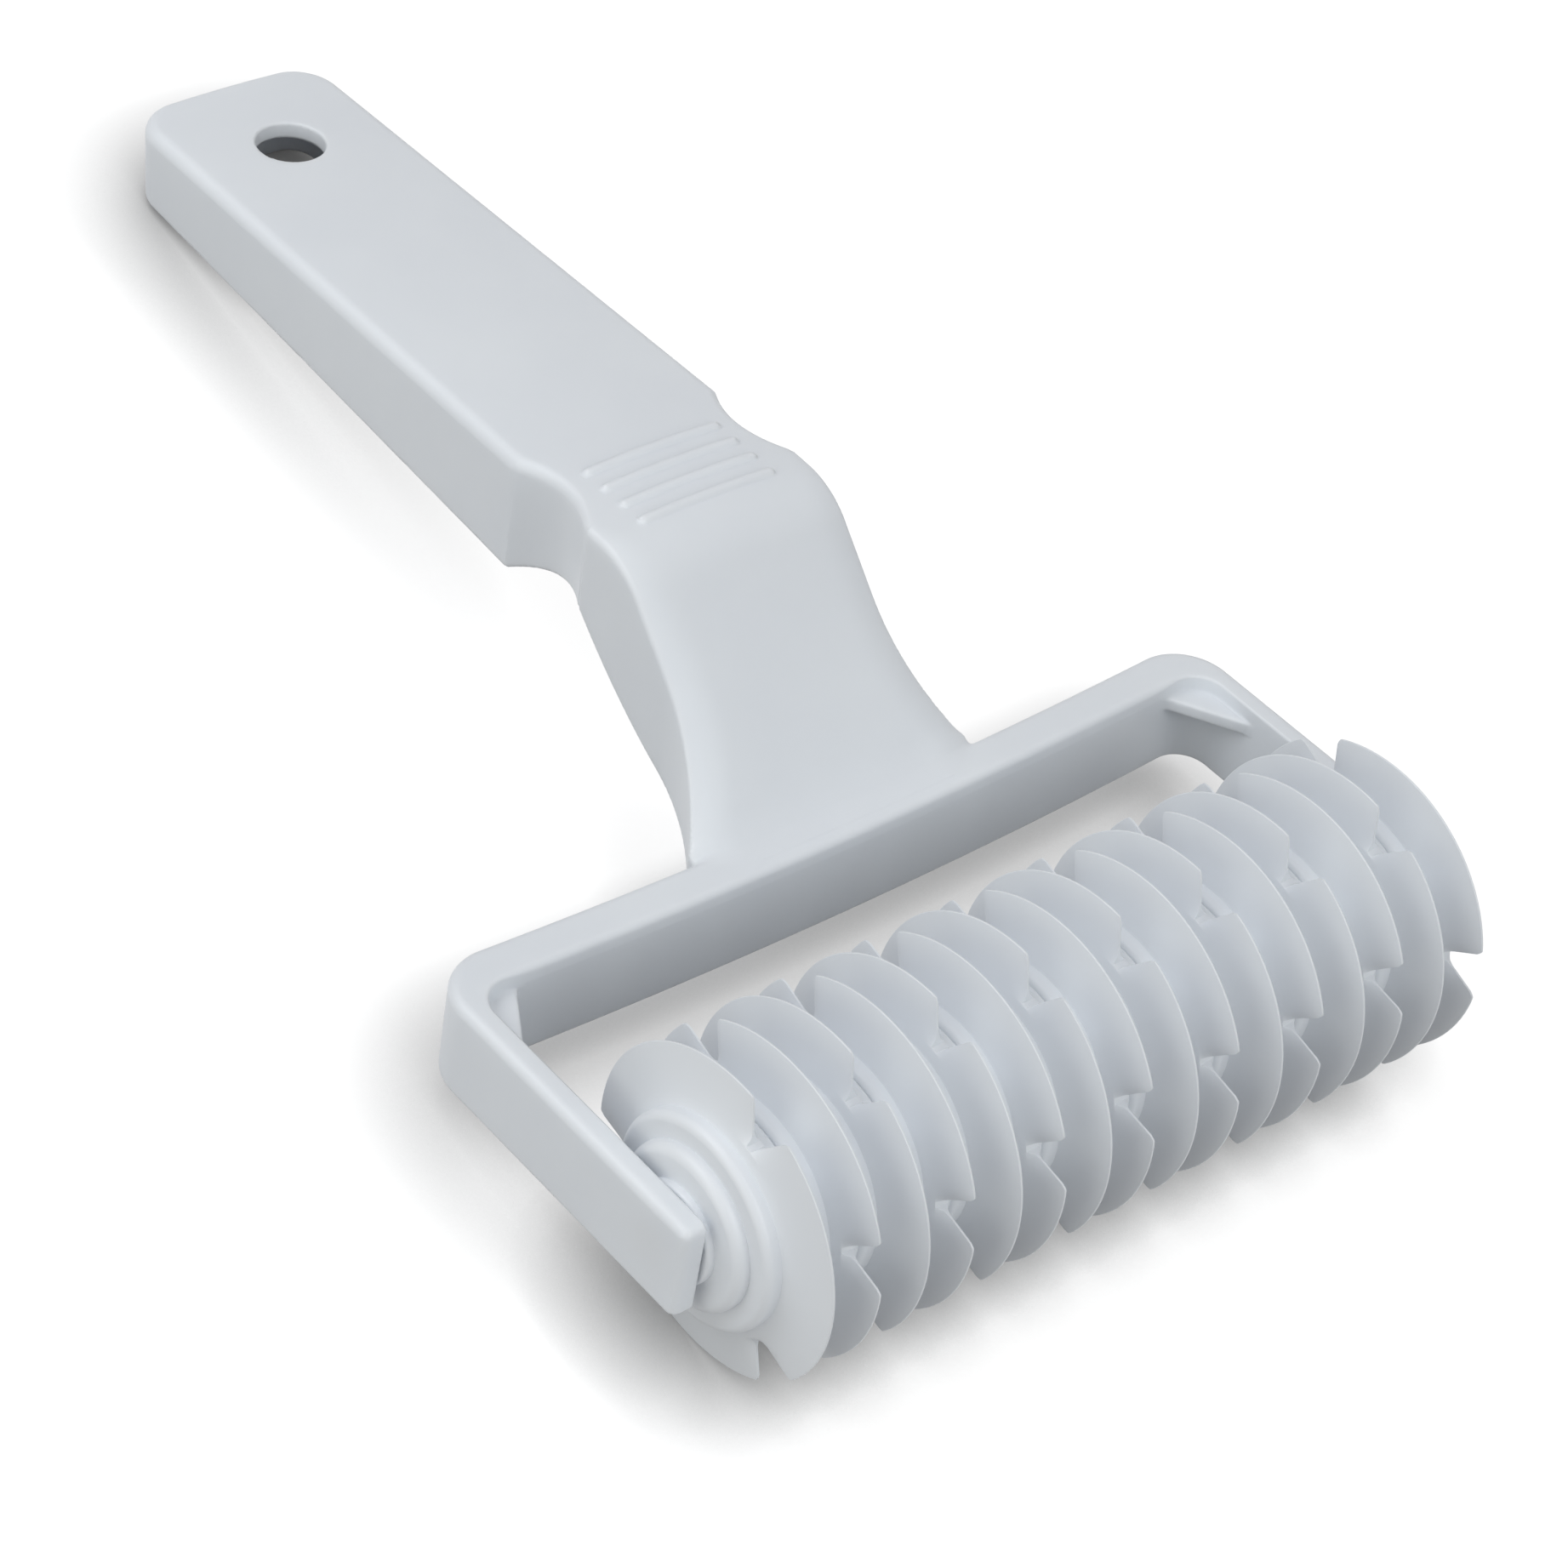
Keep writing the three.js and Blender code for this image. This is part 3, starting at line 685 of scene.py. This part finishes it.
def wall_angle(radius):
    """The angle from a notch's middle to its wall, at a radius. The wall runs straight to the rim."""
    half_floor = NOTCH_FLOOR_WIDTH / 2 / blade_foot
    half_notch = math.radians(NOTCH_ANGLE / 2)
    floor_corner = blade_foot * np.array([math.cos(half_floor), math.sin(half_floor)])
    rim_corner = DISC_RADIUS * np.array([math.cos(half_notch), math.sin(half_notch)])
    run = rim_corner - floor_corner
    direction = run / np.hypot(*run)
    ahead = floor_corner @ direction
    travelled = -ahead + np.sqrt(ahead ** 2 + radius ** 2 - floor_corner @ floor_corner)
    place = floor_corner + travelled[:, None] * direction
    return np.arctan2(place[:, 1], place[:, 0])


def corner_drawn_in(from_wall, from_rim):
    """Distances from a notch's wall and from the rim, drawn in where the blade's corner is rounded."""
    beside = np.maximum(NOTCH_CORNER - from_wall, 0)
    below = np.maximum(NOTCH_CORNER - from_rim, 0)
    drawn = 1 - NOTCH_CORNER / np.maximum(np.hypot(beside, below), NOTCH_CORNER)
    return from_wall + beside * drawn, from_rim + below * drawn


def finish_edges(piece):
    """Crisp corners where the form has them, and flat faces that stay flat beside small rounds."""
    piece.data.set_sharp_from_angle(angle=math.radians(SHARP_ANGLE))
    weighted = piece.modifiers.new("weighted_normals", "WEIGHTED_NORMAL")
    weighted.keep_sharp = True
    return piece


def disc_pieces():
    points, faces = disc_mesh()
    bore_flat = AXLE_ACROSS_FLATS / 2 + KEY_GAP
    play = math.pi / 6 - math.acos(min(1, bore_flat * math.sqrt(3) / AXLE_ACROSS_FLATS))
    for i in range(DISC_COUNT):
        angle = math.radians(NOTCH_PHASE) + (i % 2) * math.pi / 3 + DISC_SETTLE[i] * play
        place = turned(points, angle) + ((i + 0.5) * DISC_PITCH - stack_half, 0, 0)
        piece = mesh_object(f"moulded_disc_{i + 1:02d}", place, faces)
        yield f"cutter_disc_{i + 1:02d}", finish_edges(piece)


def collar_piece(name, side):
    """A stepped collar with rounded rims, between the last disc and an arm."""
    angles = np.arange(COLLAR_SIDES) / COLLAR_SIDES * 2 * math.pi
    boss_end = COLLAR_LENGTH + COLLAR_BOSS_LENGTH
    start = SEAM_GAP - SEAT_GAP
    profile = [(COLLAR_RADIUS, start)]
    profile += rounded_corner(COLLAR_RADIUS, COLLAR_LENGTH, COLLAR_EDGE, COLLAR_EDGE_STEPS)
    profile.append((COLLAR_BOSS_RADIUS, COLLAR_LENGTH))
    profile += rounded_corner(COLLAR_BOSS_RADIUS, boss_end, COLLAR_BOSS_LENGTH / 2, BOSS_EDGE_STEPS)
    bore = hexagon_radius(angles, AXLE_ACROSS_FLATS + 2 * KEY_GAP)
    rows = [around_x(start, bore, angles)]
    rows += [around_x(x, r, angles) for r, x in profile]
    rows += [around_x(boss_end, bore, angles)]
    count = len(angles)
    ring = np.arange(len(rows) * count).reshape(-1, count)
    faces = strip(np.concatenate([ring, ring[:1]])[::-1], closed=True)
    points = np.concatenate(rows) + (collar_inner, 0, 0)
    points = turned(points, math.radians(NOTCH_PHASE))
    if side < 0:
        points = points * (-1, 1, 1)
        faces = [quad[::-1] for quad in faces]
    return finish_edges(mesh_object(name, points, faces))


def axle_piece():
    """A hexagonal rod with a round journal at each end."""
    angles = np.arange(AXLE_SIDES) / AXLE_SIDES * 2 * math.pi
    journal_end = socket_end - RUNNING_GAP
    hexagon = hexagon_radius(angles, AXLE_ACROSS_FLATS)
    half = [
        (collar_outer, hexagon),
        (collar_outer, JOURNAL_RADIUS),
        (journal_end - JOURNAL_CHAMFER, JOURNAL_RADIUS),
        (journal_end, JOURNAL_RADIUS - JOURNAL_CHAMFER)]
    rows = [around_x(-x, r, angles) for x, r in half[::-1]] + [around_x(x, r, angles) for x, r in half]
    count = len(angles)
    ring = np.arange(len(rows) * count).reshape(-1, count)
    faces = strip(ring[::-1], closed=True)
    faces += [ring[0].tolist()[::-1], ring[-1].tolist()]
    points = turned(np.concatenate(rows), math.radians(NOTCH_PHASE))
    return finish_edges(mesh_object("moulded_axle", points, faces))


# Materials

def link(tree, source, output, target, socket):
    tree.links.new(source.outputs[output], target.inputs[socket])


def noise(tree, coordinates, scale, detail):
    node = tree.nodes.new("ShaderNodeTexNoise")
    node.inputs["Scale"].default_value = scale
    node.inputs["Detail"].default_value = detail
    link(tree, coordinates, "Object", node, "Vector")
    return node


def satin_plastic(name, light, dark, roughness, softness):
    """Pale satin moulding: faint clouds in the colour, an uneven sheen and a fine moulded grain."""
    material = bpy.data.materials.new(name)
    material.use_nodes = True
    tree = material.node_tree
    shader = tree.nodes["Principled BSDF"]
    shader.inputs["IOR"].default_value = PLASTIC_IOR
    shader.inputs["Subsurface Weight"].default_value = softness
    shader.inputs["Subsurface Radius"].default_value = (1, 1, 1)
    shader.inputs["Subsurface Scale"].default_value = PLASTIC_SOFT_DEPTH
    shader.inputs["Specular IOR Level"].default_value = PLASTIC_SPECULAR
    coordinates = tree.nodes.new("ShaderNodeTexCoord")

    clouds = noise(tree, coordinates, CLOUD_SCALE, CLOUD_DETAIL)
    colour = tree.nodes.new("ShaderNodeValToRGB")
    for stop, position, shade in zip(colour.color_ramp.elements, CLOUD_SPAN, (dark, light)):
        stop.position = position
        stop.color = (*shade, 1)
    link(tree, clouds, "Fac", colour, "Fac")
    link(tree, colour, "Color", shader, "Base Color")

    sheen = noise(tree, coordinates, SHEEN_SCALE, SHEEN_DETAIL)
    uneven = tree.nodes.new("ShaderNodeMapRange")
    uneven.inputs["To Min"].default_value = roughness - SHEEN_SPREAD
    uneven.inputs["To Max"].default_value = roughness + SHEEN_SPREAD
    link(tree, sheen, "Fac", uneven, "Value")
    link(tree, uneven, "Result", shader, "Roughness")

    grain = noise(tree, coordinates, GRAIN_SCALE, GRAIN_DETAIL)
    bump = tree.nodes.new("ShaderNodeBump")
    bump.inputs["Strength"].default_value = GRAIN_STRENGTH
    bump.inputs["Distance"].default_value = GRAIN_DEPTH
    link(tree, grain, "Fac", bump, "Height")
    link(tree, bump, "Normal", shader, "Normal")
    return material


def seen_directly(tree):
    """One for what the camera sees, also in a reflection or through glass, and otherwise zero."""
    path = tree.nodes.new("ShaderNodeLightPath")
    either = tree.nodes.new("ShaderNodeMath")
    either.operation = "MAXIMUM"
    link(tree, path, "Is Camera Ray", either, 0)
    link(tree, path, "Is Glossy Ray", either, 1)
    any_of_them = tree.nodes.new("ShaderNodeMath")
    any_of_them.operation = "MAXIMUM"
    link(tree, either, 0, any_of_them, 0)
    link(tree, path, "Is Transmission Ray", any_of_them, 1)
    return any_of_them


def floor_material():
    """A pale floor that looks white: its glow, dimmed by ambient occlusion, paints shade under and around
    the object over a faint real shadow.
    """
    material = bpy.data.materials.new("pale_floor")
    material.use_nodes = True
    tree = material.node_tree
    tree.nodes.remove(tree.nodes["Principled BSDF"])
    bounced = tree.nodes.new("ShaderNodeBsdfDiffuse")
    bounced.inputs["Color"].default_value = (*FLOOR_COLOUR, 1)
    seen = tree.nodes.new("ShaderNodeBsdfDiffuse")
    seen.inputs["Color"].default_value = (*FLOOR_SEEN_COLOUR, 1)
    # Painted shade: ambient occlusion dims the glow under and around the object
    openness_for_painted_shade = tree.nodes.new("ShaderNodeAmbientOcclusion")
    openness_for_painted_shade.inputs["Distance"].default_value = FLOOR_SHADE_REACH
    glow = tree.nodes.new("ShaderNodeEmission")
    glow.inputs["Strength"].default_value = FLOOR_GLOW
    painted_floor_shade = tree.nodes.new("ShaderNodeMath")
    painted_floor_shade.operation = "POWER"
    painted_floor_shade.inputs[1].default_value = FLOOR_SHADE_DEPTH
    link(tree, openness_for_painted_shade, "AO", painted_floor_shade, 0)
    link(tree, painted_floor_shade, 0, glow, "Color")
    white = tree.nodes.new("ShaderNodeAddShader")
    link(tree, seen, 0, white, 0)
    link(tree, glow, 0, white, 1)
    mix = tree.nodes.new("ShaderNodeMixShader")
    link(tree, seen_directly(tree), 0, mix, 0)
    link(tree, bounced, 0, mix, 1)
    link(tree, white, 0, mix, 2)
    link(tree, mix, 0, tree.nodes["Material Output"], "Surface")
    return material


# Stage

def set_world():
    world = bpy.data.worlds.new("studio")
    world.use_nodes = True
    tree = world.node_tree
    sky = tree.nodes["Background"]
    sky.inputs["Color"].default_value = (*SKY_COLOUR, 1)
    sky.inputs["Strength"].default_value = SKY_STRENGTH
    backdrop = tree.nodes.new("ShaderNodeBackground")
    backdrop.inputs["Color"].default_value = (1, 1, 1, 1)
    backdrop.inputs["Strength"].default_value = 1
    mix = tree.nodes.new("ShaderNodeMixShader")
    link(tree, seen_directly(tree), 0, mix, 0)
    link(tree, sky, 0, mix, 1)
    link(tree, backdrop, 0, mix, 2)
    link(tree, mix, 0, tree.nodes["World Output"], "Surface")
    bpy.context.scene.world = world


def add_floor():
    half = FLOOR_SIZE / 2
    mesh = bpy.data.meshes.new("floor")
    corners = [(-half, -half), (half, -half), (half, half), (-half, half)]
    mesh.from_pydata([(x, y, -FLOOR_DROP) for x, y in corners], [], [(0, 1, 2, 3)])
    mesh.materials.append(floor_material())
    floor = bpy.data.objects.new("floor", mesh)
    bpy.context.scene.collection.objects.link(floor)


def add_softbox(name, place, power, colour):
    """A round soft light that points at the object."""
    light = bpy.data.lights.new(name, "AREA")
    light.shape = "DISK"
    light.size = SOFTBOX_SIZE
    light.energy = power
    light.color = colour
    lamp = bpy.data.objects.new(name, light)
    lamp.location = place
    lamp.rotation_euler = (-Vector(place)).to_track_quat("-Z", "Y").to_euler()
    bpy.context.scene.collection.objects.link(lamp)


def add_camera():
    azimuth, elevation, roll = np.radians([CAMERA_AZIMUTH, CAMERA_ELEVATION, CAMERA_ROLL])
    level = math.cos(elevation)
    back = np.array([math.sin(azimuth) * level, -math.cos(azimuth) * level, math.sin(elevation)])
    flat_right = np.array([math.cos(azimuth), math.sin(azimuth), 0])
    flat_down = np.cross(flat_right, back)
    right = math.cos(roll) * flat_right + math.sin(roll) * flat_down
    down = math.cos(roll) * flat_down - math.sin(roll) * flat_right
    place = right * CAMERA_RIGHT + down * CAMERA_DOWN + back * CAMERA_DISTANCE

    data = bpy.data.cameras.new("camera")
    data.sensor_width = SENSOR_WIDTH
    data.lens = FOCAL_PIXELS / PHOTO_WIDTH * SENSOR_WIDTH
    data.clip_start = CAMERA_NEAR
    camera = bpy.data.objects.new("camera", data)
    axes = np.stack([right, -down, back]) @ tool_turn.T
    camera.matrix_world = Matrix.Translation(placed(place)) @ Matrix(axes.T.tolist()).to_4x4()
    bpy.context.scene.collection.objects.link(camera)
    bpy.context.scene.camera = camera


def dress(piece, node, body, material):
    piece.data.materials.append(material)
    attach(piece, body)
    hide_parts(node)


bpy.context.scene.view_settings.view_transform = "Standard"
set_world()
add_floor()
add_softbox("left_softbox", **LEFT_SOFTBOX)
add_softbox("front_softbox", **FRONT_SOFTBOX)
add_softbox("back_softbox", **BACK_SOFTBOX)
add_camera()

frame_plastic = satin_plastic("frame_plastic", **FRAME_PLASTIC)
# The disc copy of the plastic is painted lighter and bluer, painted light for the thin blades
disc_plastic = satin_plastic("disc_plastic", **DISC_PLASTIC_PAINTED_LIGHTER)
axle_plastic = satin_plastic("axle_plastic", **AXLE_PLASTIC)

dress(handle_frame_piece(), "handle_frame", "frame", frame_plastic)
dress(axle_piece(), "axle", "roller", axle_plastic)
dress(collar_piece("moulded_collar_left", -1), "end_collar_left", "roller", disc_plastic)
dress(collar_piece("moulded_collar_right", 1), "end_collar_right", "roller", disc_plastic)
for disc_node, disc in disc_pieces():
    dress(disc, disc_node, "roller", disc_plastic)
